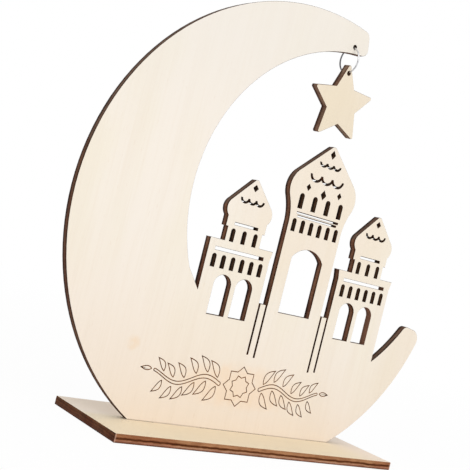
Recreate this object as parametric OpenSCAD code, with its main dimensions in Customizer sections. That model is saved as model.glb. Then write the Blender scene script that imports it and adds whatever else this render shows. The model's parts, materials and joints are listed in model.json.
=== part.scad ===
// Crescent ornament: a plywood crescent with a skyline, standing in a base, with a hanging star.
// X runs along the panel, Y goes away from its front face, Z is up.
// The origin is the middle of the base's underside.

/* [Plywood] */
// Thickness of the sheet that the panel, the base and the star are cut from
sheet_t = 3; // [2.5:0.1:4]
// Play on each side of a tab in its slot
slot_play = 0.05; // [0.03:0.01:0.1]
// Width of a slit that the cutting beam leaves as a line
slit_w = 0.65; // [0.5:0.05:1]

/* [Base] */
// Length of the base along the panel
base_l = 122; // [112:1:140]
// Depth of the base from front to back
base_d = 45; // [36:1:60]
// Width of each tab of the panel
tab_w = 20; // [14:1:24]

/* [Crescent] */
// Radius of the outer edge
outer_r = 85.25; // [82:0.25:90]
// Length of the flat that the crescent stands on
foot_l = 91; // [80:1:100]
// Width of the crescent at its widest
band_w = 45.4; // [45:0.2:48]
// Distance between the centres of the outer and the inner edge
inner_shift = 23.65; // [22:0.05:24]
// Width of the band that the edge along the lower horn would leave at its widest
horn_band_w = 34.9; // [34:0.1:37]
// Distance between the centres of the outer edge and the horn's edge
horn_shift = 19.65; // [18:0.05:20]
// Radius of the upper end's outer corner
tip_outer_r = 2.85; // [2:0.05:3.5]
// Radius of the upper end's inner corner
tip_inner_r = 2.75; // [2:0.05:3.5]
// Radius of the horn's outer corner
horn_outer_r = 4.1; // [3.2:0.1:4.6]
// Radius of the horn's inner corner
horn_inner_r = 2.7; // [2:0.1:3.2]
// Radius of the hole that the ring hangs in
hang_hole_r = 0.85; // [0.75:0.05:1.1]
// Distance from the inner edge to the middle of that hole
hang_hole_in = 2.5; // [2.2:0.1:3]

/* [Skyline] */
// Distance of the middle tower's centre line to the right of the crescent's
mid_x = 14; // [10:0.5:17]
// Width of the middle tower
mid_w = 26; // [24:0.5:30]
// Width of each side tower
side_w = 27.5; // [26:0.5:29]
// Width of the open gap between two towers
gap_w = 4.05; // [3:0.05:5.5]
// Height of the gaps' bottoms above the lowest point of the inner edge
gap_rise = 27.8; // [24:0.2:31]
// Height of a side tower's flat top above the lowest point of the inner edge
side_rise = 47.1; // [45:0.1:52]
// Length of the slits below the left gap
slit_l_left = 19; // [12:0.5:21]
// Length of the slits below the right gap
slit_l_right = 21.8; // [12:0.1:23]

/* [Middle dome] */
// Height of the dome from the spring of its neck to its point
mid_dome_h = 31.8; // [30:0.2:34]
// Radius of the dome's belly
mid_belly_r = 8.8; // [8:0.1:9.6]
// Distance of the belly's centre from the centre line
mid_belly_x = 7.4; // [6.6:0.1:8]
// Height of the belly's centre above the spring of the neck
mid_belly_rise = 13.6; // [13:0.1:15]
// Half width of the flat on the dome's point
mid_point_w = 0.7; // [0.4:0.05:1]

/* [Side domes] */
// Height of a side dome from the tower's flat top to its point
side_dome_h = 23.5; // [22:0.5:26]
// Width of the drum under the dome
drum_w = 15.5; // [14.5:0.1:16.5]
// Height of the drum
drum_h = 5.1; // [4.9:0.1:6]
// Width of the dome's foot, which oversails the drum
side_foot_w = 17.5; // [16.8:0.1:18.6]
// Radius of the dome's belly
side_belly_r = 4.15; // [3.8:0.05:4.6]
// Distance of the belly's centre from the centre line
side_belly_x = 5.9; // [5.4:0.1:6.4]
// Height of the belly's centre above the tower's flat top
side_belly_rise = 11.9; // [11.5:0.1:13.1]
// Half width of the flat on the dome's point
side_point_w = 0.6; // [0.4:0.05:1]

/* [Windows] */
// Width of the great arch in the middle tower
great_arch_w = 14.9; // [12:0.1:18]
// Rise of the great arch above its springing
great_arch_rise = 3.95; // [3:0.05:5.5]
// Distance of the great arch's sill below the bottoms of the gaps
great_sill_drop = 1.75; // [0.5:0.25:4]
// Width of each arch in a side tower
side_arch_w = 7.4; // [6:0.1:8.2]
// Distance between the two arches' centre lines
side_arch_pitch = 9.55; // [9.2:0.05:11]
// Height of each arch from its sill to its crown
side_arch_h = 14.6; // [10:0.1:15.4]
// Width of a lancet window
lancet_w = 1.74; // [1.2:0.02:2.4]
// Height of a lancet window
lancet_h = 4.7; // [3.6:0.1:5]
// Distance between the centre lines of two lancets
lancet_pitch = 4.14; // [3.6:0.02:4.3]

/* [Ring and star] */
// Radius of the ring, to the middle of its wire
ring_r = 4.85; // [4.55:0.05:5.3]
// Diameter of the ring's wire
wire_d = 0.6; // [0.5:0.05:0.8]
// Slack of the wire in each hole where it bears
hang_play = 0.2; // [0.14:0.01:0.24]
// Radius of the circle through the star's sharp points
star_r = 15.6; // [15:0.05:17]
// Radius of the circle through the star's notches
star_notch_r = 7.58; // [7:0.02:9]
// Radius that rounds the star's points
star_point_r = 0.7; // [0.4:0.05:0.9]
// Radius of the hole in the star
star_hole_r = 0.85; // [0.75:0.05:0.95]
// Height of the star's hole above the star's centre
star_hole_up = 11.65; // [11.2:0.05:11.9]
// Room between the middle tower's point and the lowest reach of the swinging star
star_room = 0.85; // [0.55:0.05:5]

/* [Hidden] */

// Distance by which a shape runs on into the one that it joins or cuts
cut_over = 1;
// Depth to which a round or a straight edge bites into the round that it touches
lap = 0.02;
// Shares of the foot's half length at which the tabs stand
tab_place_share = 0.55;

// Directions from the centre of one edge, in degrees from the X axis
inner_dir = 28.5;
horn_dir = 50.2;
tip_outer_dir = 79.8;
tip_inner_dir = 94.67;
horn_outer_dir = -18.6;
horn_inner_dir = -32.5;
hang_hole_dir = 98.1;
// Turn of the ring's plane and of the star about the vertical
ring_angle = 2.6;
star_angle = 2.75;
// Loose in their holes, the ring leans to the left and the star forwards, and the star rolls about its hole
ring_lean = 2.5;
star_lean = 4.25;
star_roll = 5.8;

// Number of lancets in one row, of windows in the dome and in a drum
lancets = 6;
dome_windows = 4;
drum_windows = 3;
star_ray_count = 5;

// Small openings of the middle dome: widths, heights and drops from its point
point_gem_w = 1.15;
point_gem_h = 1.6;
point_gem_drop = 3;
upper_garland_pitch = 3.3;
upper_garland_sag = 1.3;
upper_garland_line = 0.75;
upper_garland_drop = 8.1;
lower_garland_pitch = 5.25;
lower_garland_sag = 2.3;
lower_garland_line = 0.85;
lower_garland_drop = 14.3;
belly_gem_w = 1;
belly_gem_h = 1.25;
belly_gem_x = 7.65;
belly_gem_drop = 17.2;
centre_gem_w = 1.28;
centre_gem_h = 1.78;
centre_gem_drop = 18.5;
dome_window_w = 2.05;
dome_window_h = 5.6;
dome_window_pitch = 6.4;
dome_window_drop = 25.6;
upper_slot_l = 20.4;
upper_slot_drop = 27.7;
lower_slot_l = 19.2;
lower_slot_drop = 28.9;
thin_slot_w = 0.72;
mid_lancet_drop = 34.35;
great_crown_drop = 39.75;

// Small openings of a side tower: drops from its dome's point or from its flat top
side_gem_w = 1.12;
side_gem_h = 1.25;
side_gem_drop = 3;
side_garland_pitch = 3.3;
side_garland_sag = 1.5;
side_garland_line = 0.72;
side_garland_drop = 8.8;
drum_slot_l = 10.4;
drum_slot_w = 0.95;
drum_slot_rise = 6.05;
drum_window_w = 1.7;
drum_window_h = 4.65;
drum_window_pitch = 5;
tower_slot_l = 21.5;
tower_slot_w = 1.2;
tower_slot_drop = 4;
side_lancet_drop = 10;
side_sill_drop = 26.6;
side_arch_shift = 0.7;
// Splay of a side tower's top edge and the height over which it opens
splay_w = 0.6;
splay_h = 3.5;
// Distance of a slit from the wall of the gap that it runs down from
slit_in = 0.1;
// How much further down the right-hand slit of each pair ends
slit_step_left = 0.8;
slit_step_right = -0.4;
// The rim of the window runs straight into the wall of the left tower over this width, and meets it this much higher
foot_chord_w = 5.5;
foot_chord_rise = 2.2;

function at(centre, r, dir) = centre + r * [cos(dir), sin(dir)];
function flip(points) = [for (p = points) [-p[0], p[1]]];
function turned(p, a) = [p[0] * cos(a) - p[1] * sin(a), p[0] * sin(a) + p[1] * cos(a)];
function backwards(points) = [for (i = [len(points) - 1:-1:0]) points[i]];

// Centres of the three edges, in the plane of the panel
outer_c = [0, sheet_t + sqrt(pow(outer_r, 2) - pow(foot_l / 2, 2))];
inner_c = at(outer_c, inner_shift, inner_dir);
horn_c = at(outer_c, horn_shift, horn_dir);
inner_r = outer_r + inner_shift - band_w;
horn_r = outer_r + horn_shift - horn_band_w;
inner_low = inner_c[1] - inner_r;

// Centres of the corners of the two blunt ends
tip_outer_c = at(outer_c, outer_r - tip_outer_r + lap, tip_outer_dir);
tip_inner_c = at(inner_c, inner_r + tip_inner_r - lap, tip_inner_dir);
horn_outer_c = at(outer_c, outer_r - horn_outer_r + lap, horn_outer_dir);
horn_inner_c = at(horn_c, horn_r + horn_inner_r - lap, horn_inner_dir);

// The ring hangs low in its hole, where its curved wire bears on the rims of the sheet
function sink(hole_r) = sqrt(pow(ring_r - wire_d / 2 - hang_play, 2) - pow(sheet_t / 2, 2)) - ring_r + hole_r;
hang_hole = at(inner_c, inner_r + hang_hole_in, hang_hole_dir);
ring_z = hang_hole[1] - sink(hang_hole_r) - ring_r;
star_hole_x = hang_hole[0] + ring_r * sin(ring_lean) / 2;
star_hole_z = ring_z - ring_r - sink(star_hole_r);
star_reach = star_hole_up + star_r;

// Levels of the skyline
mid_point_z = star_hole_z - star_reach - star_room;
mid_spring_z = mid_point_z - mid_dome_h;
side_top_z = inner_low + side_rise;
gap_z = inner_low + gap_rise;
left_x = mid_x - mid_w / 2 - gap_w - side_w / 2;
right_x = mid_x + mid_w / 2 + gap_w + side_w / 2;
tab_x = tab_place_share * foot_l / 2;

// A dome's straight flank leaves the belly's circle where this direction meets it
function flank_dir(point, centre, r) =
    atan2(point[1] - centre[1], point[0] - centre[0]) - acos(r / norm(point - centre));

// Spire and belly of an onion dome, from the belly's centre up to the point
module onion(point_half, point_z, belly_x, belly_z, belly_r) {
    point = [point_half, point_z];
    belly = [belly_x, belly_z];
    flank = at(belly, belly_r - lap, flank_dir(point, belly, belly_r));
    right = [belly, flank, point];
    polygon(concat(right, backwards(flip(right))));
    for (side = [-1, 1]) {
        translate([side * belly_x, belly_z]) circle(r = belly_r, $fn = 96);
    }
}

// Neck that swells from the tower's wall into the belly, between two hollow curves
module neck(wall_x, spring_z, belly_x, belly_z, belly_r) {
    rise = belly_z - spring_z;
    bite_r = belly_r - lap;
    bite_x = wall_x - lap;
    hollow_r = (pow(bite_x - belly_x, 2) + pow(rise, 2) - pow(bite_r, 2)) / (2 * (bite_r - bite_x + belly_x));
    hollow_x = bite_x + hollow_r;
    right = [[hollow_x, spring_z], [belly_x, belly_z]];
    difference() {
        polygon(concat(right, backwards(flip(right))));
        for (side = [-1, 1]) {
            translate([side * hollow_x, spring_z]) circle(r = hollow_r, $fn = 180);
        }
    }
}

// Window with a round head, standing on the X axis
module lancet(w, h) {
    translate([-w / 2, 0]) square([w, h - w / 2]);
    translate([0, h - w / 2]) circle(d = w, $fn = 32);
}

// Opening with a flat round head, standing on the X axis
module great_arch(w, h, rise) {
    head_r = (pow(w / 2, 2) + pow(rise, 2)) / (2 * rise);
    intersection() {
        translate([-w / 2, 0]) square([w, h]);
        union() {
            translate([-w, 0]) square([2 * w, h - rise]);
            translate([0, h - head_r]) circle(r = head_r, $fn = 96);
        }
    }
}

// Children set out in a row about the centre line
module row(count, pitch) {
    for (i = [0:count - 1]) {
        translate([(i - (count - 1) / 2) * pitch, 0]) children();
    }
}

module gem(half_w, half_h) {
    polygon([[0, half_h], [half_w, 0], [0, -half_h], [-half_w, 0]]);
}

// Level slot with its middle on the centre line
module slot(l, w) {
    translate([-l / 2, 0]) square([l, w]);
}

// Three hanging loops of one cut line, with the loops' lowest points on the X axis
module garland(pitch, sag, line_w) {
    loop_r = (pow(pitch / 2, 2) + pow(sag, 2)) / (2 * sag);
    row(3, pitch) {
        intersection() {
            translate([0, loop_r]) {
                difference() {
                    circle(r = loop_r + line_w / 2, $fn = 64);
                    circle(r = loop_r - line_w / 2, $fn = 64);
                }
            }
            translate([-pitch, -line_w]) square([2 * pitch, sag + line_w]);
        }
    }
}

// Round-cornered blunt end, its corners taken counter-clockwise, and the straight edge that touches both
module blunt_end(c1, r1, c2, r2) {
    along = c2 - c1;
    dir = atan2(along[1], along[0]) - acos((r1 - r2) / norm(along));
    translate(c1) circle(r = r1, $fn = 64);
    translate(c2) circle(r = r2, $fn = 64);
    polygon([c1, at(c1, r1 - lap, dir), at(c2, r2 - lap, dir), c2]);
}

// Outside of the crescent between its two ends, as seen from the right
module mouth() {
    far_x = 2 * outer_r;
    polygon([
        tip_outer_c + 2 * tip_outer_r * [cos(tip_outer_dir), sin(tip_outer_dir)],
        tip_outer_c,
        tip_inner_c,
        tip_inner_c - 2 * tip_inner_r * [cos(tip_inner_dir), sin(tip_inner_dir)],
        horn_inner_c - 2 * horn_inner_r * [cos(horn_inner_dir), sin(horn_inner_dir)],
        horn_inner_c,
        horn_outer_c,
        horn_outer_c + 2 * horn_outer_r * [cos(horn_outer_dir), sin(horn_outer_dir)],
        [far_x, horn_outer_c[1]],
        [far_x, outer_c[1] + outer_r],
    ]);
}

module crescent_outline() {
    difference() {
        translate(outer_c) circle(r = outer_r, $fn = 360);
        intersection() {
            translate(inner_c) circle(r = inner_r, $fn = 360);
            translate(horn_c) circle(r = horn_r, $fn = 360);
        }
        mouth();
        translate([-outer_r, outer_c[1] - 2 * outer_r]) {
            square([2 * outer_r, 2 * outer_r - outer_c[1] + sheet_t]);
        }
    }
    blunt_end(tip_inner_c, tip_inner_r, tip_outer_c, tip_outer_r);
    blunt_end(horn_outer_c, horn_outer_r, horn_inner_c, horn_inner_r);
}

module middle_tower() {
    belly_z = mid_spring_z + mid_belly_rise;
    onion(mid_point_w, mid_point_z, mid_belly_x, belly_z, mid_belly_r);
    neck(mid_w / 2, mid_spring_z, mid_belly_x, belly_z, mid_belly_r);
    translate([-mid_w / 2, inner_low]) square([mid_w, belly_z - inner_low]);
}

module middle_openings() {
    sill_z = gap_z - great_sill_drop;
    translate([0, mid_point_z - point_gem_drop]) gem(point_gem_w, point_gem_h);
    translate([0, mid_point_z - upper_garland_drop]) {
        garland(upper_garland_pitch, upper_garland_sag, upper_garland_line);
    }
    translate([0, mid_point_z - lower_garland_drop]) {
        garland(lower_garland_pitch, lower_garland_sag, lower_garland_line);
    }
    for (side = [-1, 1]) {
        translate([side * belly_gem_x, mid_point_z - belly_gem_drop]) gem(belly_gem_w, belly_gem_h);
    }
    translate([0, mid_point_z - centre_gem_drop]) gem(centre_gem_w, centre_gem_h);
    translate([0, mid_point_z - dome_window_drop]) {
        row(dome_windows, dome_window_pitch) lancet(dome_window_w, dome_window_h);
    }
    translate([0, mid_point_z - upper_slot_drop]) slot(upper_slot_l, thin_slot_w);
    translate([0, mid_point_z - lower_slot_drop]) slot(lower_slot_l, thin_slot_w);
    translate([0, mid_point_z - mid_lancet_drop]) row(lancets, lancet_pitch) lancet(lancet_w, lancet_h);
    translate([0, sill_z]) {
        great_arch(great_arch_w, mid_point_z - great_crown_drop - sill_z, great_arch_rise);
    }
}

// Side tower with splayed upper corners; splay_left is 0 where the wall runs straight up
module side_tower(splay_left) {
    belly_z = side_top_z + side_belly_rise;
    half = side_w / 2;
    polygon([
        [half, inner_low],
        [half, side_top_z - splay_h],
        [half + splay_w, side_top_z],
        [-half - splay_left, side_top_z],
        [-half, side_top_z - splay_h],
        [-half, inner_low],
    ]);
    translate([-drum_w / 2, side_top_z - splay_h]) square([drum_w, drum_h + splay_h + cut_over]);
    translate([-side_foot_w / 2, side_top_z + drum_h]) square([side_foot_w, side_belly_rise - drum_h]);
    onion(side_point_w, side_top_z + side_dome_h, side_belly_x, belly_z, side_belly_r);
}

// The pair of arches stands a little nearer to the middle tower, on the side that inward gives
module side_openings(inward) {
    translate([0, side_top_z + side_dome_h - side_gem_drop]) gem(side_gem_w, side_gem_h);
    translate([0, side_top_z + side_dome_h - side_garland_drop]) {
        garland(side_garland_pitch, side_garland_sag, side_garland_line);
    }
    translate([0, side_top_z + drum_slot_rise]) slot(drum_slot_l, drum_slot_w);
    translate([0, side_top_z]) row(drum_windows, drum_window_pitch) lancet(drum_window_w, drum_window_h);
    translate([0, side_top_z - tower_slot_drop]) slot(tower_slot_l, tower_slot_w);
    translate([0, side_top_z - side_lancet_drop]) row(lancets, lancet_pitch) lancet(lancet_w, lancet_h);
    translate([inward * side_arch_shift, side_top_z - side_sill_drop]) {
        row(2, side_arch_pitch) lancet(side_arch_w, side_arch_h);
    }
}

// Slits that run down from the bottom corners of the gap beside the middle tower
module slits(centre_x, slit_l, step) {
    for (side = [-1, 1]) {
        slit_x = centre_x + side * (gap_w / 2 - slit_in - slit_w / 2);
        own_l = slit_l + (side + 1) / 2 * step;
        translate([slit_x - slit_w / 2, gap_z - own_l]) square([slit_w, own_l + cut_over]);
    }
}

// Height of the window's rim at a place to the left of its lowest point
function rim_z(x) = inner_c[1] - sqrt(inner_r * inner_r - pow(x - inner_c[0], 2));

// Straight end of the rim at the foot of the left tower's outer wall
module foot_chord() {
    wall_x = left_x - side_w / 2;
    far_x = wall_x - foot_chord_w;
    polygon([
        [wall_x, rim_z(wall_x) + foot_chord_rise],
        [far_x, rim_z(far_x)],
        [far_x, rim_z(wall_x) - lap],
        [wall_x + lap, rim_z(wall_x) - lap],
        [wall_x + lap, rim_z(wall_x) + foot_chord_rise],
    ]);
}

module panel_outline() {
    difference() {
        union() {
            crescent_outline();
            foot_chord();
            translate([left_x, inner_low]) {
                square([right_x - left_x, gap_rise]);
            }
            translate([mid_x, 0]) middle_tower();
            translate([left_x, 0]) side_tower(0);
            translate([right_x, 0]) side_tower(splay_w);
            for (side = [-1, 1]) {
                translate([side * tab_x - tab_w / 2, 0]) square([tab_w, sheet_t + cut_over]);
            }
        }
        translate([mid_x, 0]) middle_openings();
        translate([left_x, 0]) side_openings(1);
        translate([right_x, 0]) side_openings(-1);
        slits(mid_x - (mid_w + gap_w) / 2, slit_l_left, slit_step_left);
        slits(mid_x + (mid_w + gap_w) / 2, slit_l_right, slit_step_right);
        translate(hang_hole) circle(r = hang_hole_r, $fn = 48);
    }
}

module crescent_panel() {
    color("wheat")
        rotate([90, 0, 0])
            linear_extrude(height = sheet_t, center = true) panel_outline();
}

module base_plate() {
    slot_l = tab_w + 2 * slot_play;
    slot_w = sheet_t + 2 * slot_play;
    color("burlywood")
        linear_extrude(height = sheet_t)
            difference() {
                square([base_l, base_d], center = true);
                for (side = [-1, 1]) {
                    translate([side * tab_x, 0]) square([slot_l, slot_w], center = true);
                }
            }
}

module hanging_ring() {
    color("silver")
        translate([hang_hole[0], 0, ring_z])
            rotate([0, -ring_lean, 0])
                rotate([90, 0, 90 + ring_angle])
                    rotate_extrude($fn = 96) translate([ring_r, 0]) circle(d = wire_d, $fn = 24);
}

// Five-pointed star about its centre: straight sides between its notches and its rounded points
module star_outline() {
    step = 360 / star_ray_count;
    notch = star_notch_r * [sin(step / 2), cos(step / 2)];
    lean = atan2(notch[0], star_r - notch[1]);
    point_y = star_r - star_point_r / sin(lean);
    touch = at([0, point_y], star_point_r - lap, lean);
    ray = [notch, touch, [-touch[0], touch[1]]];
    polygon([for (i = [0:star_ray_count - 1]) for (p = ray) turned(p, i * step)]);
    for (i = [0:star_ray_count - 1]) {
        translate(turned([0, point_y], i * step)) circle(r = star_point_r, $fn = 32);
    }
}

module star_pendant() {
    color("moccasin")
        translate([star_hole_x, 0, star_hole_z])
            rotate([90 + star_lean, 0, star_angle])
                linear_extrude(height = sheet_t, center = true)
                    rotate(star_roll)
                        difference() {
                            translate([0, -star_hole_up]) star_outline();
                            circle(r = star_hole_r, $fn = 48);
                        }
}

base_plate();
crescent_panel();
hanging_ring();
star_pendant();
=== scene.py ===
"""Looks of a plywood crescent ornament: a lit studio, dressed sheets, an engraved leaf band and a wire ring.

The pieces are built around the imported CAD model, in its frame and in metres: X runs along the crescent,
Y goes away from its engraved face and Z is up.
"""

from __future__ import annotations

import json
import logging
import math
from dataclasses import dataclass, field
from enum import Enum

import bmesh
import bpy
from mathutils import Euler, Matrix, Quaternion, Vector


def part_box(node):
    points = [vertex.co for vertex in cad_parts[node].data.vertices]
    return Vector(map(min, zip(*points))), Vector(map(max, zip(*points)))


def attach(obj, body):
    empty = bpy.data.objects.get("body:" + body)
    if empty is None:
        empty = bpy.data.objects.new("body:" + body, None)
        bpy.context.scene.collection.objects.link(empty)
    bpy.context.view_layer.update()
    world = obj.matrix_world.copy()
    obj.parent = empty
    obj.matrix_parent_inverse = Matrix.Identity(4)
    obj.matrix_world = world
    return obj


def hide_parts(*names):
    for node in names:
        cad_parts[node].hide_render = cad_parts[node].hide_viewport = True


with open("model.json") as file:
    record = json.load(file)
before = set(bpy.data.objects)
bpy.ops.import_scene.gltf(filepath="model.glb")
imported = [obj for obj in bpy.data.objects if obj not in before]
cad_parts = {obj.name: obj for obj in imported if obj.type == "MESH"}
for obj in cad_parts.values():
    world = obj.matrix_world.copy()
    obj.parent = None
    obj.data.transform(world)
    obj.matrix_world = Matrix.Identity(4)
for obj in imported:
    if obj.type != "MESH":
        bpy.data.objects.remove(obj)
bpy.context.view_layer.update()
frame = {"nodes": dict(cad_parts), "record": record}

LOG = logging.getLogger("ornament")
MM = 0.001
BUMP_STRENGTH = 0.5
NOISE_ROUGHNESS = 0.55
# Half depth of a spot that reaches right through the sheet
THROUGH = 1000 * MM
# Edges that turn by less than this are shaded smooth
SMOOTH_ANGLE = math.radians(28)

# Sockets of the Mix node when it mixes colours
MIX_FACTOR = 0
MIX_A = 6
MIX_B = 7
MIX_RESULT = 2

NodeTree = bpy.types.NodeTree
Socket = bpy.types.NodeSocket
# Where a range starts and where it ends
Span = tuple[float, float]


class Lay(Enum):
    """How a sheet lies: its turn, in degrees about X, Y and Z, from upright with upright grain."""

    UPRIGHT = (0.0, 0.0, 0.0)
    FLAT = (90.0, 0.0, 90.0)
    # The star hangs leaning forwards, rolled and turned
    STAR = (4.272, -5.784, 2.319)

    def turn(self) -> Euler:
        """The turn as Euler angles."""
        return Euler([math.radians(angle) for angle in self.value])


class Slot(Enum):
    """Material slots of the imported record."""

    PLYWOOD = "plywood"
    STAR_PLYWOOD = "star_plywood"
    RING_WIRE = "ring_wire"


def srgb(code: str) -> tuple[float, float, float, float]:
    """Turns an sRGB hex colour into linear red, green, blue and alpha.

    Args:
        code: The colour as "#rrggbb".

    Returns:
        The four linear values.
    """
    parts = [int(code[i : i + 2], 16) / 255 for i in (1, 3, 5)]
    return (*[c / 12.92 if c <= 0.04045 else ((c + 0.055) / 1.055) ** 2.4 for c in parts], 1.0)


def add_node(
    tree: NodeTree,
    kind: str,
    inputs: dict[str | int, object] | None = None,
    stops: tuple[tuple[float, str], ...] = (),
    **settings: object,
) -> bpy.types.Node:
    """Adds a node, sets it and links it.

    Args:
        tree: The node tree that gets the node.
        kind: The node's type name.
        inputs: What goes into each socket: another node's socket, or a plain value.
        stops: Places and hex colours of a colour ramp.
        settings: The node's own settings.

    Returns:
        The new node.
    """
    node = tree.nodes.new(kind)
    for key, value in settings.items():
        setattr(node, key, value)
    for key, value in (inputs or {}).items():
        if isinstance(value, Socket):
            tree.links.new(value, node.inputs[key])
        else:
            node.inputs[key].default_value = value
    if stops:
        ramp = node.color_ramp.elements
        while len(ramp) < len(stops):
            ramp.new(1.0)
        for element, (place, code) in zip(ramp, stops):
            element.position = place
            element.color = srgb(code)
    return node


@dataclass(frozen=True)
class Sheet:
    """Where a ply sheet's own middle is, how it lies and how thick it is."""

    centre: Vector
    lay: Lay
    thickness: float

    def coordinates(self, tree: NodeTree) -> Socket:
        """Turns Object coordinates into the sheet's own ones.

        Args:
            tree: The node tree.

        Returns:
            The socket with them: X across the grain, Y through the plies and Z along the grain.
        """
        place = add_node(tree, "ShaderNodeTexCoord").outputs["Object"]
        inputs = {"Vector": place, "Location": self.centre, "Rotation": self.lay.turn()}
        return add_node(tree, "ShaderNodeMapping", inputs, vector_type="TEXTURE").outputs["Vector"]


def start_material(name: str) -> tuple[bpy.types.Material, NodeTree, bpy.types.Node]:
    """Makes a material with one Principled shader.

    Args:
        name: The material's name.

    Returns:
        The material, its node tree and its shader.
    """
    material = bpy.data.materials.new(name)
    material.use_nodes = True
    tree = material.node_tree
    tree.nodes.clear()
    shader = add_node(tree, "ShaderNodeBsdfPrincipled")
    add_node(tree, "ShaderNodeOutputMaterial", {"Surface": shader.outputs["BSDF"]})
    return material, tree, shader


def pattern(tree: NodeTree, place: Socket, period: tuple[float, float, float], detail: float = 2.0) -> Socket:
    """Noise whose period is set along each of the sheet's own directions.

    Args:
        tree: The node tree.
        place: The sheet's own coordinates.
        period: The noise's period in X, Y and Z, in metres.
        detail: The number of finer octaves.

    Returns:
        The socket with the noise, about 0.5 on average.
    """
    scale = [1 / p for p in period]
    stretched = add_node(tree, "ShaderNodeMapping", {"Vector": place, "Scale": scale}).outputs["Vector"]
    inputs = {"Vector": stretched, "Scale": 1.0, "Detail": detail, "Roughness": NOISE_ROUGHNESS}
    return add_node(tree, "ShaderNodeTexNoise", inputs).outputs["Fac"]


def from_to(value: Socket, old: Span, new: Span) -> dict[str | int, object]:
    """The inputs that take a value from one range to another.

    Args:
        value: The value.
        old: The range that counts.
        new: The range that it becomes.

    Returns:
        What goes into the node's sockets.
    """
    return {"Value": value, "From Min": old[0], "From Max": old[1], "To Min": new[0], "To Max": new[1]}


def stain(
    tree: NodeTree,
    colour: Socket | str,
    value: Socket,
    reach: Span,
    share: float,
    tint: str,
    blend: str = "MIX",
) -> Socket:
    """Stains a colour with a tint where a value calls for it.

    Args:
        tree: The node tree.
        colour: The colour so far, a socket or a hex code.
        value: The value that rules the tint.
        reach: The value at which the tint starts and the one at which it is full.
        share: How much of the tint is taken at most.
        tint: The tint's hex code.
        blend: The way of mixing.

    Returns:
        The socket with the stained colour.
    """
    inputs = from_to(value, reach, (0.0, share))
    amount = add_node(tree, "ShaderNodeMapRange", inputs, interpolation_type="SMOOTHSTEP").outputs["Result"]
    bare = srgb(colour) if isinstance(colour, str) else colour
    inputs = {MIX_FACTOR: amount, MIX_A: bare, MIX_B: srgb(tint)}
    return add_node(tree, "ShaderNodeMix", inputs, data_type="RGBA", blend_type=blend).outputs[MIX_RESULT]


@dataclass(frozen=True)
class BirchVeneer:
    """Birch face veneer, peeled, sanded and left bare: pale cream, dull, with hardly any figure."""

    name: str
    sheet: Sheet
    pale: str = "#f5ece0"
    streak: str = "#e6d6c0"
    yellow: str = "#f2e9d6"
    warm: str = "#f4e6d6"
    fleck: str = "#cfae8a"
    streak_share: float = 0.14
    yellow_share: float = 0.6
    warm_share: float = 1.0
    warm_height: Span = (62 * MM, -4 * MM)
    # Pores are under 0.1 mm wide: their lines are drawn coarser, so that they show
    fine_period: tuple[float, float, float] = (0.8 * MM, 3 * MM, 28 * MM)
    figure_period: tuple[float, float, float] = (7 * MM, 30 * MM, 130 * MM)
    blotch_period: tuple[float, float, float] = (34 * MM, 60 * MM, 75 * MM)
    fleck_period: tuple[float, float, float] = (0.45 * MM, 2 * MM, 3.4 * MM)
    fine_reach: Span = (0.4, 0.75)
    figure_reach: Span = (0.48, 0.72)
    blotch_reach: Span = (0.42, 0.62)
    fleck_reach: Span = (0.68, 0.8)
    sheen_reach: Span = (0.3, 0.7)
    roughness: Span = (0.62, 0.72)
    relief: float = 0.02 * MM

    def material(self) -> bpy.types.Material:
        """Builds the veneer's material.

        Returns:
            The material.
        """
        material, tree, shader = start_material(self.name)
        place = self.sheet.coordinates(tree)
        fine = pattern(tree, place, self.fine_period, detail=3.0)
        figure = pattern(tree, place, self.figure_period)
        blotch = pattern(tree, place, self.blotch_period)
        fleck = pattern(tree, place, self.fleck_period, detail=1.0)
        height = add_node(tree, "ShaderNodeSeparateXYZ", {"Vector": self.warm_place(tree)}).outputs["Z"]
        colour = stain(tree, self.pale, blotch, self.blotch_reach, self.yellow_share, self.yellow)
        colour = stain(tree, colour, height, self.warm_height, self.warm_share, self.warm)
        colour = stain(tree, colour, figure, self.figure_reach, self.streak_share, self.streak)
        colour = stain(tree, colour, fine, self.fine_reach, self.streak_share, self.streak)
        colour = stain(tree, colour, fleck, self.fleck_reach, self.streak_share, self.fleck)
        tree.links.new(self.marked(tree, colour), shader.inputs["Base Color"])
        inputs = from_to(fine, self.sheen_reach, self.roughness)
        dullness = add_node(tree, "ShaderNodeMapRange", inputs, interpolation_type="SMOOTHSTEP")
        tree.links.new(dullness.outputs["Result"], shader.inputs["Roughness"])
        inputs = {"Height": fine, "Strength": BUMP_STRENGTH, "Distance": self.relief}
        bump = add_node(tree, "ShaderNodeBump", inputs)
        tree.links.new(bump.outputs["Normal"], shader.inputs["Normal"])
        return material

    def warm_place(self, tree: NodeTree) -> Socket:
        """Plain Object coordinates, whose Z is the height above the base's underside."""
        return add_node(tree, "ShaderNodeTexCoord").outputs["Object"]

    def marked(self, tree: NodeTree, colour: Socket) -> Socket:
        """Adds what only one sheet shows; a plain sheet shows nothing more."""
        return colour


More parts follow.
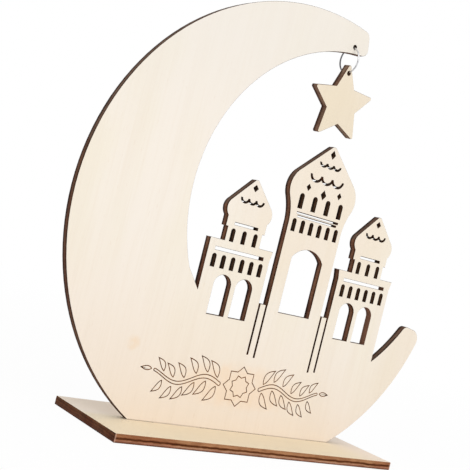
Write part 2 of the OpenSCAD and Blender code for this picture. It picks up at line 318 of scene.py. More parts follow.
@dataclass(frozen=True)
class BoardVeneer(BirchVeneer):
    """Birch veneer of the base: pinker at its right end, with painted shade on a greyer strip behind the
    crescent.
    """

    pale: str = "#f3e9d7"
    warm: str = "#f1e1c4"
    pink: str = "#f4e4d6"
    pink_share: float = 0.8
    pink_reach: Span = (40 * MM, 60 * MM)
    # Painted shade: a greyer, darker strip on the board's top behind the crescent
    rear_shade: str = "#efe2d4"
    rear_shade_share: float = 0.9
    rear_shade_depth: Span = (-1 * MM, 5 * MM)

    def marked(self, tree: NodeTree, colour: Socket) -> Socket:
        """Adds the pinker end and the painted shade on the strip behind the crescent.

        Args:
            tree: The node tree.
            colour: The veneer's colour so far.

        Returns:
            The socket with the marked colour.
        """
        place = add_node(tree, "ShaderNodeTexCoord").outputs["Object"]
        parts = add_node(tree, "ShaderNodeSeparateXYZ", {"Vector": place}).outputs
        colour = stain(tree, colour, parts["X"], self.pink_reach, self.pink_share, self.pink)
        # Painted shade on the strip behind the crescent
        return stain(tree, colour, parts["Y"], self.rear_shade_depth, self.rear_shade_share, self.rear_shade)


@dataclass(frozen=True)
class EngravedVeneer(BirchVeneer):
    """Birch veneer of the crescent, with a greyer top, a warmer horn, one pin knot and a faint haze."""

    grey: str = "#ece6dd"
    grey_share: float = 0.6
    grey_height: Span = (85 * MM, 150 * MM)
    warm_tilt: float = math.radians(10)
    smoke: str = "#f0e0ca"
    smoke_share: float = 0.5
    smoke_centre: tuple[float, float] = (18 * MM, 86 * MM)
    smoke_half: tuple[float, float, float] = (54 * MM, THROUGH, 46 * MM)
    smoke_reach: Span = (0.0, 0.8)
    haze: str = "#f7d6b0"
    haze_share: float = 0.4
    haze_centre: tuple[float, float] = (-2.5 * MM, 19.5 * MM)
    haze_half: tuple[float, float, float] = (46 * MM, 2 * MM, 12 * MM)
    haze_reach: Span = (0.05, 0.5)
    knot: str = "#f0cfa4"
    knot_share: float = 0.6
    knot_centre: tuple[float, float] = (-50.6 * MM, 29 * MM)
    knot_half: tuple[float, float, float] = (4.5 * MM, 2 * MM, 4.5 * MM)
    knot_reach: Span = (0.1, 0.7)
    cloud_period: tuple[float, float, float] = (5 * MM, 5 * MM, 5 * MM)
    spot_reach: Span = (1.0, 0.2)
    horn: str = "#efdfc8"
    horn_share: float = 0.5
    horn_reach: Span = (52 * MM, 74 * MM)
    # Painted contact shadow: a thin darker line on the face just above the base
    foot: str = "#bda892"
    foot_shadow_share: float = 0.5
    foot_shadow_height: Span = (3.5 * MM, 3.15 * MM)

    def warm_place(self, tree: NodeTree) -> Socket:
        """Turns Object coordinates so that the warmer foot climbs a little to the left.

        Args:
            tree: The node tree.

        Returns:
            The socket with the turned coordinates.
        """
        place = super().warm_place(tree)
        inputs = {"Vector": place, "Rotation": (0.0, -self.warm_tilt, 0.0)}
        return add_node(tree, "ShaderNodeMapping", inputs).outputs["Vector"]

    def marked(self, tree: NodeTree, colour: Socket) -> Socket:
        """Adds the greyer top, the warmer horn, the stained towers, a painted contact shadow at the foot, the
        haze and the knot.

        Args:
            tree: The node tree.
            colour: The veneer's colour so far.

        Returns:
            The socket with the marked colour.
        """
        place = add_node(tree, "ShaderNodeTexCoord").outputs["Object"]
        parts = add_node(tree, "ShaderNodeSeparateXYZ", {"Vector": place}).outputs
        colour = stain(tree, colour, parts["Z"], self.grey_height, self.grey_share, self.grey)
        colour = stain(tree, colour, parts["X"], self.horn_reach, self.horn_share, self.horn)
        smoke = self.spot(tree, place, self.smoke_centre, self.smoke_half)
        colour = stain(tree, colour, smoke, self.smoke_reach, self.smoke_share, self.smoke)
        # Painted contact shadow along the foot, where the crescent stands on the base
        colour = stain(tree, colour, parts["Z"], self.foot_shadow_height, self.foot_shadow_share, self.foot)
        cloud = pattern(tree, place, self.cloud_period)
        haze = self.spot(tree, place, self.haze_centre, self.haze_half)
        haze = add_node(tree, "ShaderNodeMath", {0: haze, 1: cloud}, operation="MULTIPLY").outputs["Value"]
        colour = stain(tree, colour, haze, self.haze_reach, self.haze_share, self.haze)
        knot = self.spot(tree, place, self.knot_centre, self.knot_half)
        knot = add_node(tree, "ShaderNodeMath", {0: knot, 1: cloud}, operation="MULTIPLY").outputs["Value"]
        return stain(tree, colour, knot, self.knot_reach, self.knot_share, self.knot)

    def spot(
        self, tree: NodeTree, place: Socket, centre: tuple[float, float], half: tuple[float, float, float]
    ) -> Socket:
        """A soft oval on the sheet's front face, 1 in its middle and 0 at its rim.

        Args:
            tree: The node tree.
            place: Object coordinates.
            centre: The oval's middle, in X and Z.
            half: Its half width, how deep into the sheet it goes, and its half height.

        Returns:
            The socket with the oval's strength.
        """
        inputs = {
            "Vector": place,
            "Location": (centre[0], self.sheet.centre.y - self.sheet.thickness / 2, centre[1]),
            "Scale": half,
        }
        oval = add_node(tree, "ShaderNodeMapping", inputs, vector_type="TEXTURE").outputs["Vector"]
        reach = add_node(tree, "ShaderNodeVectorMath", {0: oval}, operation="LENGTH").outputs["Value"]
        inputs = from_to(reach, self.spot_reach, (0.0, 1.0))
        return add_node(tree, "ShaderNodeMapRange", inputs, interpolation_type="SMOOTHSTEP").outputs["Result"]


@dataclass(frozen=True)
class CutEdge:
    """Laser-cut plywood edge: three plies between two glue lines, charred brown and dull."""

    name: str
    sheet: Sheet
    plies: tuple[tuple[float, str], ...]
    soot: str = "#22120a"
    soot_share: float = 0.35
    rust: str = "#8a4626"
    rust_share: float = 0.4
    rust_period: tuple[float, float, float] = (15 * MM, 9 * MM, 15 * MM)
    # The ridges that the beam leaves are about 0.1 mm apart: they are drawn coarser, so that they show
    stria_period: tuple[float, float, float] = (0.35 * MM, 6 * MM, 0.35 * MM)
    soot_period: tuple[float, float, float] = (5 * MM, 2.2 * MM, 5 * MM)
    rust_reach: Span = (0.45, 0.65)
    stria_reach: Span = (0.35, 0.75)
    soot_reach: Span = (0.4, 0.7)
    wave: float = 0.16 * MM
    wave_period: tuple[float, float, float] = (3.5 * MM, 2 * MM, 3.5 * MM)
    wave_reach: Span = (0.2, 0.8)
    drift: float = 0.22 * MM
    drift_period: tuple[float, float, float] = (16 * MM, 30 * MM, 16 * MM)
    drift_reach: Span = (0.3, 0.7)
    roughness: float = 0.8
    specular: float = 0.1
    relief: float = 0.03 * MM

    def material(self) -> bpy.types.Material:
        """Builds the edge's material: the plies by depth, wavy and drifting, then rust and soot.

        Returns:
            The material.
        """
        material, tree, shader = start_material(self.name)
        place = self.sheet.coordinates(tree)
        depth = add_node(tree, "ShaderNodeSeparateXYZ", {"Vector": place}).outputs["Y"]
        half = self.sheet.thickness / 2
        bends = (
            (pattern(tree, place, self.wave_period), self.wave_reach, self.wave),
            (pattern(tree, place, self.drift_period, detail=0.0), self.drift_reach, self.drift),
        )
        for noise, reach, most in bends:
            inputs = from_to(noise, reach, (-most, most))
            shift = add_node(tree, "ShaderNodeMapRange", inputs, interpolation_type="SMOOTHSTEP")
            inputs = {0: depth, 1: shift.outputs["Result"]}
            depth = add_node(tree, "ShaderNodeMath", inputs, operation="ADD").outputs["Value"]
        inputs = {"Value": depth, "From Min": -half, "From Max": half}
        share = add_node(tree, "ShaderNodeMapRange", inputs).outputs["Result"]
        ply = add_node(tree, "ShaderNodeValToRGB", {"Fac": share}, self.plies).outputs["Color"]
        stria = pattern(tree, place, self.stria_period)
        soot = pattern(tree, place, self.soot_period)
        rust = pattern(tree, place, self.rust_period)
        colour = stain(tree, ply, rust, self.rust_reach, self.rust_share, self.rust, blend="OVERLAY")
        colour = stain(tree, colour, soot, self.soot_reach, self.soot_share, self.soot)
        colour = stain(tree, colour, stria, self.stria_reach, self.soot_share, self.soot)
        tree.links.new(self.marked(tree, colour), shader.inputs["Base Color"])
        shader.inputs["Roughness"].default_value = self.roughness
        shader.inputs["Specular IOR Level"].default_value = self.specular
        inputs = {"Height": stria, "Strength": BUMP_STRENGTH, "Distance": self.relief}
        bump = add_node(tree, "ShaderNodeBump", inputs)
        tree.links.new(bump.outputs["Normal"], shader.inputs["Normal"])
        return material

    def marked(self, tree: NodeTree, colour: Socket) -> Socket:
        """Adds what only one edge shows; a plain edge shows nothing more."""
        return colour


@dataclass(frozen=True)
class RimmedEdge(CutEdge):
    """Edge of the crescent: darker along its long outer curve as painted shade, more even at its right end.
    """

    # Painted shade: the long outer curve is darkened towards the left
    outer_shade: str = "#3a281c"
    outer_shade_share: float = 0.42
    outer_shade_reach: Span = (30 * MM, 50 * MM)
    toast: str = "#8a6450"
    toast_share: float = 0.55
    toast_reach: Span = (42 * MM, 46 * MM)

    def marked(self, tree: NodeTree, colour: Socket) -> Socket:
        """Adds the painted shade on the outer curve and the more even right end.

        Args:
            tree: The node tree.
            colour: The edge's colour so far.

        Returns:
            The socket with the marked colour.
        """
        place = add_node(tree, "ShaderNodeTexCoord").outputs["Object"]
        along = add_node(tree, "ShaderNodeSeparateXYZ", {"Vector": place}).outputs["X"]
        left = add_node(tree, "ShaderNodeMath", {0: along, 1: -1.0}, operation="MULTIPLY").outputs["Value"]
        # Painted shade on the long outer curve
        colour = stain(tree, colour, left, self.outer_shade_reach, self.outer_shade_share, self.outer_shade)
        return stain(tree, colour, along, self.toast_reach, self.toast_share, self.toast)


@dataclass(frozen=True)
class ToastedEdge(CutEdge):
    """Long edge of the base, cut faster: tan plies streaked lengthwise, paler where it meets the ends."""

    drift: float = 0.0
    soot: str = "#6b3f22"
    stria_period: tuple[float, float, float] = (9 * MM, 0.45 * MM, 9 * MM)
    corner: str = "#dcb9a4"
    corner_share: float = 0.4
    corner_place: Span = (60.35 * MM, 60.75 * MM)

    def marked(self, tree: NodeTree, colour: Socket) -> Socket:
        """Adds the paler corners.

        Args:
            tree: The node tree.
            colour: The edge's colour so far.

        Returns:
            The socket with the marked colour.
        """
        place = add_node(tree, "ShaderNodeTexCoord").outputs["Object"]
        along = add_node(tree, "ShaderNodeSeparateXYZ", {"Vector": place}).outputs["X"]
        reach = add_node(tree, "ShaderNodeMath", {0: along}, operation="ABSOLUTE").outputs["Value"]
        return stain(tree, colour, reach, self.corner_place, self.corner_share, self.corner)


@dataclass(frozen=True)
class ScorchedGroove:
    """Floor and walls of an engraved line: wood burnt to an even matt brown."""

    name: str
    brown: str = "#965e22"
    dark: str = "#5c3008"
    burn_period: tuple[float, float, float] = (1.6 * MM, 1.6 * MM, 1.6 * MM)
    burn_reach: Span = (0.35, 0.7)
    roughness: float = 0.85

    def material(self) -> bpy.types.Material:
        """Builds the groove's material.

        Returns:
            The material.
        """
        material, tree, shader = start_material(self.name)
        place = add_node(tree, "ShaderNodeTexCoord").outputs["Object"]
        burn = pattern(tree, place, self.burn_period)
        colour = stain(tree, self.brown, burn, self.burn_reach, 1.0, self.dark)
        tree.links.new(colour, shader.inputs["Base Color"])
        shader.inputs["Roughness"].default_value = self.roughness
        return material


@dataclass(frozen=True)
class PlatedWire:
    """Nickel-plated steel wire, drawn and tumbled: bright and finely marked, with a painted dark reflection
    on its back half.
    """

    name: str
    bright: str = "#dcdcde"
    marked: str = "#b4b4b6"
    # Painted dark reflection: the wire's back half, behind the crescent, is darkened
    dark_reflection: str = "#5e5e62"
    dark_reflection_share: float = 0.9
    dark_reflection_depth: Span = (-1 * MM, 3.5 * MM)
    # Tumbling leaves finer marks: they are drawn coarser, so that they show
    mark_period: tuple[float, float, float] = (0.9 * MM, 0.9 * MM, 0.9 * MM)
    mark_reach: Span = (0.35, 0.7)
    polish_reach: Span = (0.3, 0.7)
    roughness: Span = (0.24, 0.39)

    def material(self) -> bpy.types.Material:
        """Builds the wire's material.

        Returns:
            The material.
        """
        material, tree, shader = start_material(self.name)
        place = add_node(tree, "ShaderNodeTexCoord").outputs["Object"]
        marks = pattern(tree, place, self.mark_period, detail=4.0)
        depth = add_node(tree, "ShaderNodeSeparateXYZ", {"Vector": place}).outputs["Y"]
        colour = stain(tree, self.bright, marks, self.mark_reach, 1.0, self.marked)
        # Painted dark reflection on the wire's back half
        colour = stain(tree, colour, depth, self.dark_reflection_depth, self.dark_reflection_share, self.dark_reflection)
        tree.links.new(colour, shader.inputs["Base Color"])
        shader.inputs["Metallic"].default_value = 1.0
        inputs = from_to(marks, self.polish_reach, self.roughness)
        dullness = add_node(tree, "ShaderNodeMapRange", inputs, interpolation_type="SMOOTHSTEP")
        tree.links.new(dullness.outputs["Result"], shader.inputs["Roughness"])
        return material


def finished(name: str, bm: bmesh.types.BMesh, materials: list[bpy.types.Material]) -> bpy.types.Object:
    """Turns a bmesh into an object at the origin, smooth but for its sharp edges.

    Args:
        name: The piece's name.
        bm: The shape, which is used up.
        materials: The piece's materials, in the order of its faces' material numbers.

    Returns:
        The new object.
    """
    for face in bm.faces:
        face.smooth = True
    for edge in bm.edges:
        edge.smooth = edge.is_manifold and edge.calc_face_angle() < SMOOTH_ANGLE
    mesh = bpy.data.meshes.new(name)
    bm.to_mesh(mesh)
    bm.free()
    for material in materials:
        mesh.materials.append(material)
    piece = bpy.data.objects.new(name, mesh)
    bpy.context.scene.collection.objects.link(piece)
    return piece


@dataclass
class PlyPiece:
    """A piece cut from the ply sheet: its CAD shape with eased rims, veneered faces and charred edges."""

    name: str
    node: str
    body: str
    slot: Slot
    sheet: Sheet
    ease: float = 0.1 * MM
    flat_angle: float = math.radians(0.3)
    merge_distance: float = 0.001 * MM
    face_slant: float = 0.9

    # Which of the piece's materials a polygon shows
    FACE = 0
    EDGE = 1
    HOLE = 2
    SLOPE = 3
    GROOVE = 4

    def shape(self) -> bmesh.types.BMesh:
        """Copies the CAD node's mesh, joins its triangles, eases its rims and numbers its faces.

        Returns:
            The piece's shape.
        """
        bm = bmesh.new()
        bm.from_mesh(frame["nodes"][self.node].data)
        bmesh.ops.remove_doubles(bm, verts=bm.verts[:], dist=self.merge_distance)
        bmesh.ops.dissolve_limit(bm, angle_limit=self.flat_angle, verts=bm.verts[:], edges=bm.edges[:])
        rims = [e for e in bm.edges if len({self.is_face(f) for f in e.link_faces}) == 2]
        bmesh.ops.bevel(
            bm,
            geom=rims,
            offset=self.ease,
            offset_type="OFFSET",
            affect="EDGES",
            segments=1,
            profile=0.5,
            material=-1,
            clamp_overlap=False,
        )
        for face in bm.faces:
            face.material_index = self.FACE if self.is_face(face) else self.EDGE
        return bm

    def is_face(self, face: bmesh.types.BMFace) -> bool:
        """Whether a polygon lies on one of the sheet's two faces."""
        return abs(face.normal @ self.through()) > self.face_slant

    def through(self) -> Vector:
        """The direction through the plies."""
        return self.sheet.lay.turn().to_matrix() @ Vector((0, 1, 0))

    def build(self, materials: list[bpy.types.Material]) -> bpy.types.Object:
        """Builds the piece, puts it on its body and hides its CAD node.

        Args:
            materials: The piece's materials, in the order of its faces' numbers.

        Returns:
            The finished object.
        """
        piece = finished(self.name, self.shape(), materials)
        self.seat(piece)
        return piece

    def seat(self, piece: bpy.types.Object) -> None:
        """Puts the piece on its body in place of its CAD node and reports it.

        Args:
            piece: The finished object.
        """
        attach(piece, self.body)
        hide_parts(self.node)
        LOG.info("%s: %d faces on body %s", piece.name, len(piece.data.polygons), self.body)


@dataclass
class BasePlate(PlyPiece):
    """The base board, whose two long edges were cut cleaner than its ends."""

    LONG_EDGE = 2

    def shape(self) -> bmesh.types.BMesh:
        """The sheet's shape, with the long edges numbered apart.

        Returns:
            The board's shape.
        """
        bm = super().shape()
        low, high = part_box(self.node)
        for face in bm.faces:
            # The edge and the eased rims beside it
            outer = min(abs(face.calc_center_median().y - y) for y in (low.y, high.y)) < 2 * self.ease
            if face.material_index == self.EDGE and outer:
                face.material_index = self.LONG_EDGE
        return bm


Outline = list[Vector]


@dataclass
class LeafBand:
    """Engraved band across the crescent: an eight-pointed star between two waved stems with leaves."""

    centre_x: float = -2.5 * MM
    centre_z: float = 19.6 * MM
    line_w: float = 0.34 * MM
    depth: float = 0.25 * MM
    overrun: float = 0.2 * MM
    star_points: int = 8
    star_r: float = 7.6 * MM
    star_inner_r: float = 4.4 * MM
    star_notch_share: float = 0.765
    stem_start: float = 9.4 * MM
    stem_end: float = 37.0 * MM
    stem_w: float = 1.8 * MM
    stem_taper: float = 0.3
    wave: float = 1.9 * MM
    wave_l: float = 24 * MM
    leaf_l: float = 8.4 * MM
    leaf_w: float = 3.1 * MM
    leaf_lean: float = math.radians(52)
    leaf_gap: float = 0.55 * MM
    leaf_places: tuple[float, ...] = (10.4 * MM, 15.1 * MM, 19.8 * MM, 24.4 * MM, 28.9 * MM, 33.2 * MM)
    leaf_shrink: float = 0.32
    leaf_bend: float = 0.12
    leaf_fullness: float = 0.8
    end_leaf_share: float = 0.85
    points_per_leaf: int = 14
    points_per_stem: int = 40
    points_per_end: int = 5

    def outlines(self) -> list[Outline]:
        """Every closed line of the band, as points in the plane of the face.

        Returns:
            The outlines, none of which crosses another.
        """
        found = [self.star(self.star_r, 0.0), self.star(self.star_inner_r, math.pi / self.star_points)]
        for side in (-1, 1):
            found.append(self.stem(side))
            tip = self.stem_end + self.stem_w / 2 * (1 - self.stem_taper) + self.leaf_gap
            found.append(self.leaf(side, tip, 0, self.leaf_l * (1 - self.leaf_shrink) * self.end_leaf_share))
            for place in self.leaf_places:
                length = self.leaf_l * (1 - self.leaf_shrink * place / self.stem_end)
                found += [self.leaf(side, place, up, length) for up in (-1, 1)]
        return found

    def star(self, radius: float, turn: float) -> Outline:
        """Outline of an eight-pointed star about the band's middle.

        Args:
            radius: Radius through its points.
            turn: Turn of the star, in radians.

        Returns:
            The star's corners.
        """
        corners = []
        for i in range(2 * self.star_points):
            reach = radius if i % 2 == 0 else radius * self.star_notch_share
            angle = turn + i * math.pi / self.star_points
            corners.append(Vector((reach * math.cos(angle), reach * math.sin(angle))))
        return corners

    def wave_height(self, along: float) -> float:
        """Height of the stem's middle at a distance from the band's middle."""
        return self.wave * math.sin(2 * math.pi * (along - self.stem_start) / self.wave_l)

    def stem(self, side: int) -> Outline:
        """Outline of one stem, which waves, tapers outwards and has round ends.

        Args:
            side: 1 for the right-hand stem and -1 for the left-hand one.

        Returns:
            The stem's outline.
        """
        upper: Outline = []
        lower: Outline = []
        for i in range(self.points_per_stem + 1):
            share = i / self.points_per_stem
            along = self.stem_start + share * (self.stem_end - self.stem_start)
            half = Vector((0, self.stem_w / 2 * (1 - self.stem_taper * share)))
            middle_line = Vector((along, self.wave_height(along)))
            upper.append(middle_line + half)
            lower.append(middle_line - half)
        outer_end = self.round_end(upper[-1], lower[-1])
        inner_end = self.round_end(lower[0], upper[0])
        outline = upper + outer_end + lower[::-1] + inner_end
        return [Vector((side * p.x, p.y)) for p in outline]

    def round_end(self, start: Vector, end: Vector) -> Outline:
        """Points of the half circle that runs clockwise from one point to another, without either.

        Args:
            start: Where the half circle starts.
            end: Where it ends.

        Returns:
            The points between them.
        """
        centre = (start + end) / 2
        steps = self.points_per_end
        return [centre + Matrix.Rotation(-math.pi * i / steps, 2) @ (start - centre) for i in range(1, steps)]

    def leaf(self, side: int, place: float, up: int, length: float) -> Outline:
        """Outline of one leaf.

        Args:
            side: 1 for the right-hand half of the band and -1 for the left-hand one.
            place: Distance of the leaf's foot from the band's middle.
            up: 1 above the stem, -1 below it and 0 for the leaf that ends it.
            length: The leaf's length.

        Returns:
            The leaf's outline.
        """
        width = self.leaf_w * length / self.leaf_l
        foot = Vector((place, self.wave_height(place) + up * (self.stem_w / 2 + self.leaf_gap)))
        turn = Matrix.Rotation(up * self.leaf_lean, 2)
        points = []
        for i in range(2 * self.points_per_leaf):
            share = 1 - abs(i / self.points_per_leaf - 1)
            belly = width / 2 * math.sin(math.pi * share**self.leaf_fullness)
            bend = up * self.leaf_bend * length * math.sin(math.pi * share)
            across = belly if i < self.points_per_leaf else -belly
            point = foot + turn @ Vector((length * share, across + bend))
            points.append(Vector((side * point.x, point.y)))
        return points

    def cutter(self, face_y: float, material: bpy.types.Material) -> bpy.types.Object:
        """Solid that takes the band's grooves out of the face.

        Args:
            face_y: Where the engraved face is.
            material: What the grooves' walls and floors show.

        Returns:
            The solid, as one object.
        """
        bm = bmesh.new()
        for outline in self.outlines():
            corners = [(self.centre_x + p.x, face_y - self.overrun, self.centre_z + p.y) for p in outline]
            disc = bm.faces.new([bm.verts.new(corner) for corner in corners])
            disc.normal_update()
            bmesh.ops.inset_region(
                bm,
                faces=[disc],
                thickness=self.line_w,
                use_boundary=True,
                use_even_offset=True,
            )
            bmesh.ops.delete(bm, geom=[disc], context="FACES_ONLY")
        deep = bmesh.ops.extrude_face_region(bm, geom=bm.faces[:], use_keep_orig=True)["geom"]
        moved = [v for v in deep if isinstance(v, bmesh.types.BMVert)]
        bmesh.ops.translate(bm, verts=moved, vec=(0, self.depth + self.overrun, 0))
        bmesh.ops.recalc_face_normals(bm, faces=bm.faces[:])
        return finished("band_cutter", bm, [material])


@dataclass
class CrescentSheet(PlyPiece):
    """The crescent with its skyline and engraved band, with painted shade on its small holes' walls and on
    its cut faces that look upwards.
    """

    band: LeafBand = field(default_factory=LeafBand)
    small_hole: float = 11 * MM
    slope_rise: float = 0.2

    def shape(self) -> bmesh.types.BMesh:
        """The sheet's shape, with the small holes' walls and the cut faces that look upwards numbered apart.

        Returns:
            The crescent's shape.
        """
        bm = super().shape()
        left = {face for face in bm.faces if face.material_index == self.EDGE}
        while left:
            wall = self.wall_from(left.pop(), left)
            spots = [vert.co for face in wall for vert in face.verts]
            reach = max(max(p[axis] for p in spots) - min(p[axis] for p in spots) for axis in (0, 2))
            # The small holes' walls take the plies darkened with painted shade
            if reach < self.small_hole:
                for face in wall:
                    face.material_index = self.HOLE
        # Cut faces that look upwards take the plies darkened with painted shade
        for face in bm.faces:
            if face.material_index == self.EDGE and face.normal.z > self.slope_rise:
                face.material_index = self.SLOPE
        return bm

    def wall_from(self, start: bmesh.types.BMFace, left: set[bmesh.types.BMFace]) -> list[bmesh.types.BMFace]:
        """Collects the cut faces that join one another round a hole or round the outline.

        Args:
            start: One face of the wall.
            left: The cut faces not collected yet, which loses those of this wall.

        Returns:
            The wall's faces.
        """
        wall = [start]
        for face in wall:
            for edge in face.edges:
                for other in edge.link_faces:
                    if other in left:
                        left.remove(other)
                        wall.append(other)
        return wall

    def build(self, materials: list[bpy.types.Material]) -> bpy.types.Object:
        """Builds the sheet and cuts the band into its front face.

        Args:
            materials: Those of the faces, the edges, the small holes' walls, the slopes and the grooves.

        Returns:
            The finished object.
        """
        blank = finished("crescent_blank", self.shape(), materials[: self.GROOVE])
        cutter = self.band.cutter(self.sheet.centre.y - self.sheet.thickness / 2, materials[self.GROOVE])
        cut = blank.modifiers.new("grooves", "BOOLEAN")
        cut.operation = "DIFFERENCE"
        cut.solver = "MANIFOLD"
        cut.object = cutter
        cut.material_mode = "TRANSFER"
        graph = bpy.context.evaluated_depsgraph_get()
        engraved = bmesh.new()
        engraved.from_mesh(blank.evaluated_get(graph).data)
        for face in engraved.faces:
            face.normal_update()
        sheet = finished(self.name, engraved, materials)
        for spent in (blank, cutter):
            bpy.data.objects.remove(spent)
        self.seat(sheet)
        return sheet


@dataclass
class WireRing:
    """The open jump ring that carries the star: one turn of round wire with a hairline split at its back."""

    name: str
    node: str
    body: str
    wire_d: float = 0.6 * MM
    turn: float = math.radians(2.6)
    lean: float = math.radians(2.5)
    split: float = math.radians(0.8)
    steps: int = 120
    sides: int = 20

    def build(self, material: bpy.types.Material) -> bpy.types.Object:
        """Spins the wire's section round the ring's axis and closes its two ends.

        Args:
            material: The wire's finish.

        Returns:
            The finished object.
        """
        low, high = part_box(self.node)
        ring_r = (high.z - low.z - self.wire_d) / (2 * math.cos(self.lean))
        bm = bmesh.new()
        bmesh.ops.create_circle(bm, cap_ends=True, segments=self.sides, radius=self.wire_d / 2)
        section = bm.faces[:] + bm.edges[:]
        turn_up = Matrix.Rotation(math.radians(90), 3, "X")
        bmesh.ops.rotate(bm, verts=bm.verts[:], matrix=turn_up)
        bmesh.ops.translate(bm, verts=bm.verts[:], vec=(ring_r, 0, 0))
        bmesh.ops.rotate(bm, verts=bm.verts[:], matrix=Matrix.Rotation(self.split / 2, 3, "Z"))
        bmesh.ops.spin(
            bm,
            geom=section,
            cent=(0, 0, 0),
            axis=(0, 0, 1),
            dvec=(0, 0, 0),
            angle=2 * math.pi - self.split,
            steps=self.steps,
            use_merge=False,
            use_duplicate=False,
        )
        bmesh.ops.recalc_face_normals(bm, faces=bm.faces[:])
        stand = Euler((math.radians(90), 0, math.radians(90) + self.turn)).to_matrix()
        bmesh.ops.rotate(bm, verts=bm.verts[:], matrix=Matrix.Rotation(-self.lean, 3, "Y") @ stand)
        bmesh.ops.translate(bm, verts=bm.verts[:], vec=(low + high) / 2)
        ring = finished(self.name, bm, [material])
        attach(ring, self.body)
        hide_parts(self.node)
        LOG.info("%s: %d faces on body %s", ring.name, len(ring.data.polygons), self.body)
        return ring


@dataclass
class Studio:
    """White floor, white surroundings, soft lamps and the camera."""

    floor_half: float = 6.0
    floor_colour: str = "#fafafa"
    surround_light: float = 0.72
    floor_own_light: Span = (0.95, 1.0)
    floor_fade: Span = (0.12, 0.6)
    key_energy: float = 9.0
    key_size: float = 1.1
    key_place: tuple[float, float, float] = (-0.35, -1.35, 1.0)
    aim: tuple[float, float, float] = (0.0, 0.0, 0.07)
    camera_place: tuple[float, float, float] = (-219.547 * MM, -285.87 * MM, 67.822 * MM)
    camera_azimuth: float = math.radians(34.9545)
    camera_pitch: float = math.radians(0.784)
    camera_roll: float = math.radians(14.1027)
    lens: float = 75.1686
    sensor: float = 36.0

    def build(self) -> None:
        """Builds the studio."""
        self.floor()
        self.surroundings()
        self.key()
        self.camera()

    def floor(self) -> None:
        """Lays the floor: matt white paper that keeps the object's shadow and shows white to the camera."""
        bm = bmesh.new()
        bmesh.ops.create_grid(bm, x_segments=1, y_segments=1, size=self.floor_half)
        material = bpy.data.materials.new("white_paper")
        material.use_nodes = True
        tree = material.node_tree
        tree.nodes.clear()
        paper = add_node(tree, "ShaderNodeBsdfDiffuse", {"Color": srgb(self.floor_colour)})
        white = add_node(tree, "ShaderNodeEmission", {"Strength": 1.0})
        place = add_node(tree, "ShaderNodeTexCoord").outputs["Object"]
        reach = add_node(tree, "ShaderNodeVectorMath", {0: place}, operation="LENGTH").outputs["Value"]
        inputs = from_to(reach, self.floor_fade, self.floor_own_light)
        own = add_node(tree, "ShaderNodeMapRange", inputs, interpolation_type="SMOOTHSTEP").outputs["Result"]
        share = add_node(tree, "ShaderNodeMath", {0: self.seen(tree), 1: own}, operation="MULTIPLY")
        inputs = {0: share.outputs["Value"], 1: paper.outputs["BSDF"], 2: white.outputs["Emission"]}
        both = add_node(tree, "ShaderNodeMixShader", inputs)
        add_node(tree, "ShaderNodeOutputMaterial", {"Surface": both.outputs["Shader"]})
        finished("floor", bm, [material])

    def seen(self, tree: NodeTree) -> Socket:
        """Tells the rays that show the white surroundings from those that light something.

        Args:
            tree: The node tree.

        Returns:
            The socket with 1 for rays from the camera, off metal or through glass, and 0 for the others.
        """
        path = add_node(tree, "ShaderNodeLightPath").outputs
        inputs = {0: path["Is Camera Ray"], 1: path["Is Glossy Ray"]}
        either = add_node(tree, "ShaderNodeMath", inputs, operation="MAXIMUM")
        inputs = {0: either.outputs["Value"], 1: path["Is Transmission Ray"]}
        return add_node(tree, "ShaderNodeMath", inputs, operation="MAXIMUM").outputs["Value"]

    def surroundings(self) -> None:
        """Surrounds the object with white that lights it softly."""
        world = bpy.data.worlds.new("studio")
        bpy.context.scene.world = world
        world.use_nodes = True
        tree = world.node_tree
        tree.nodes.clear()
        inputs = from_to(self.seen(tree), (0.0, 1.0), (self.surround_light, 1.0))
        strength = add_node(tree, "ShaderNodeMapRange", inputs, interpolation_type="SMOOTHSTEP")
        inputs = {"Color": (1.0, 1.0, 1.0, 1.0), "Strength": strength.outputs["Result"]}
        light = add_node(tree, "ShaderNodeBackground", inputs)
        add_node(tree, "ShaderNodeOutputWorld", {"Surface": light.outputs["Background"]})

    def key(self) -> None:
        """Hangs the large soft lamp in front of the object."""
        lamp = bpy.data.lights.new("key", "AREA")
        lamp.energy = self.key_energy
        lamp.size = self.key_size
        place = bpy.data.objects.new("key", lamp)
        place.location = self.key_place
        place.rotation_euler = (Vector(self.aim) - Vector(self.key_place)).to_track_quat("-Z", "Y").to_euler()
        bpy.context.scene.collection.objects.link(place)

    def camera(self) -> None:
        """Sets the camera at the photograph's viewing angle, rolled as the photograph is."""
        lens = bpy.data.cameras.new("camera")
        lens.lens = self.lens
        lens.sensor_width = self.sensor
        lens.clip_start = 10 * MM
        place = bpy.data.objects.new("camera", lens)
        place.location = self.camera_place
        level = math.cos(self.camera_pitch)
        look = Vector((
            math.sin(self.camera_azimuth) * level,
            math.cos(self.camera_azimuth) * level,
            math.sin(self.camera_pitch),
        ))
        place.rotation_mode = "QUATERNION"
        place.rotation_quaternion = look.to_track_quat("-Z", "Y") @ Quaternion((0, 0, 1), self.camera_roll)
        bpy.context.scene.collection.objects.link(place)
        bpy.context.scene.camera = place


# Plies of the crescent's charred edge, from the front face to the back one
DARK_PLIES = (
    (0.0, "#3a2213"),
    (0.08, "#55341f"),
    (0.2, "#764a31"),
    (0.38, "#88614a"),
    (0.54, "#805b47"),
    (0.67, "#57382a"),
    (0.79, "#392318"),
    (1.0, "#2a180e"),
)
# Plies of the star's edge, cut faster
STAR_PLIES = (
    (0.0, "#6c4f3d"),
    (0.12, "#886a57"),
    (0.3, "#937963"),
    (0.52, "#917a67"),
    (0.66, "#755b4b"),
    (0.8, "#5b4536"),
    (1.0, "#50392b"),
)
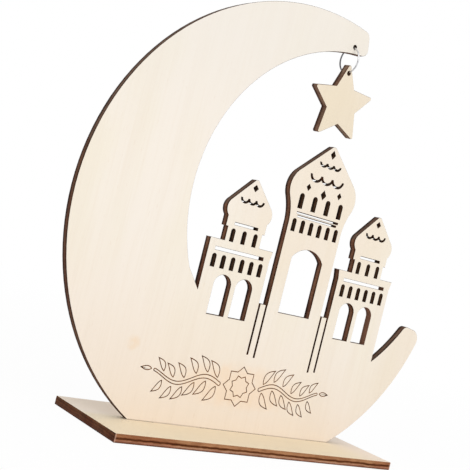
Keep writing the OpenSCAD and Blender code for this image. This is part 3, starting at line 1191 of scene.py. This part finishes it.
# Plies of the edges that look upwards, darkened as painted shade
SHADED_SLOPE_PLIES = (
    (0.0, "#3a2920"),
    (0.12, "#5f4739"),
    (0.35, "#745b4b"),
    (0.52, "#6f5547"),
    (0.68, "#493729"),
    (0.83, "#32251d"),
    (1.0, "#271c15"),
)
# Charred plies in the small holes, darkened further as painted shade
CHARRED_AND_SHADED_HOLE_PLIES = (
    (0.0, "#2b1a0d"),
    (0.14, "#432c18"),
    (0.28, "#74543a"),
    (0.4, "#60442e"),
    (0.6, "#342212"),
    (1.0, "#1e1208"),
)
# Plies of the board's charred ends, from its underside to its top
END_PLIES = (
    (0.0, "#3c221a"),
    (0.12, "#6b4330"),
    (0.36, "#5f3a29"),
    (0.5, "#74492f"),
    (0.64, "#573321"),
    (0.9, "#7c5233"),
    (1.0, "#4a2c1e"),
)
# Plies of the board's long edges, from its underside to its top
TAN_PLIES = (
    (0.0, "#5a3a2a"),
    (0.08, "#80573f"),
    (0.17, "#a3755d"),
    (0.27, "#c89a80"),
    (0.36, "#a4754f"),
    (0.43, "#633816"),
    (0.49, "#411a04"),
    (0.56, "#582c0e"),
    (0.64, "#a06d48"),
    (0.73, "#be8c66"),
    (0.84, "#a87650"),
    (0.93, "#bb8963"),
    (1.0, "#9a6a46"),
)


def middle(node: str) -> Vector:
    """The middle of a CAD node's box."""
    low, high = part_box(node)
    return (low + high) / 2


def hinge(name: str) -> Vector:
    """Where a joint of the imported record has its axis."""
    places = {joint["name"]: joint["pos_m"] for joint in frame["record"]["behaviour"]["joints"]}
    return Vector(places[name])


def main() -> None:
    """Builds the pieces and the studio in order."""
    logging.basicConfig(level=logging.INFO, format="%(name)s: %(message)s")
    low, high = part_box("base_plate")
    thickness = high.z - low.z

    flat = Sheet(middle("base_plate"), Lay.FLAT, thickness)
    board = BasePlate("base_board", "base_plate", "base", Slot.PLYWOOD, flat)
    board.build([
        BoardVeneer("birch_veneer_base", flat).material(),
        CutEdge("charred_edge_base", flat, END_PLIES).material(),
        ToastedEdge("toasted_edge_base", flat, TAN_PLIES).material(),
    ])

    upright = Sheet(middle("crescent_panel"), Lay.UPRIGHT, thickness)
    crescent = CrescentSheet("crescent_sheet", "crescent_panel", "panel", Slot.PLYWOOD, upright)
    crescent.build([
        EngravedVeneer("birch_veneer_crescent", upright).material(),
        RimmedEdge("charred_edge_crescent", upright, DARK_PLIES).material(),
        # The small holes' walls: charred plies darkened with painted shade
        CutEdge("charred_and_shaded_hole_crescent", upright, CHARRED_AND_SHADED_HOLE_PLIES, drift=0.15 * MM).material(),
        # The cut faces that look upwards: plies darkened with painted shade
        CutEdge("shaded_slope_crescent", upright, SHADED_SLOPE_PLIES, rust_share=0.15).material(),
        ScorchedGroove("scorched_groove").material(),
    ])

    WireRing("jump_ring", "hanging_ring", "ring").build(PlatedWire("plated_wire").material())

    hung = Sheet(hinge("star_swing"), Lay.STAR, thickness)
    star = PlyPiece("star_charm", "star_pendant", "star", Slot.STAR_PLYWOOD, hung)
    star.build([
        BirchVeneer("birch_veneer_star", hung, pale="#f0e3d0", yellow="#ebdcc0", warm_share=0.0).material(),
        CutEdge("charred_edge_star", hung, STAR_PLIES).material(),
    ])

    Studio().build()
    bpy.context.scene.view_settings.view_transform = "Standard"


if __name__ == "__main__":
    main()
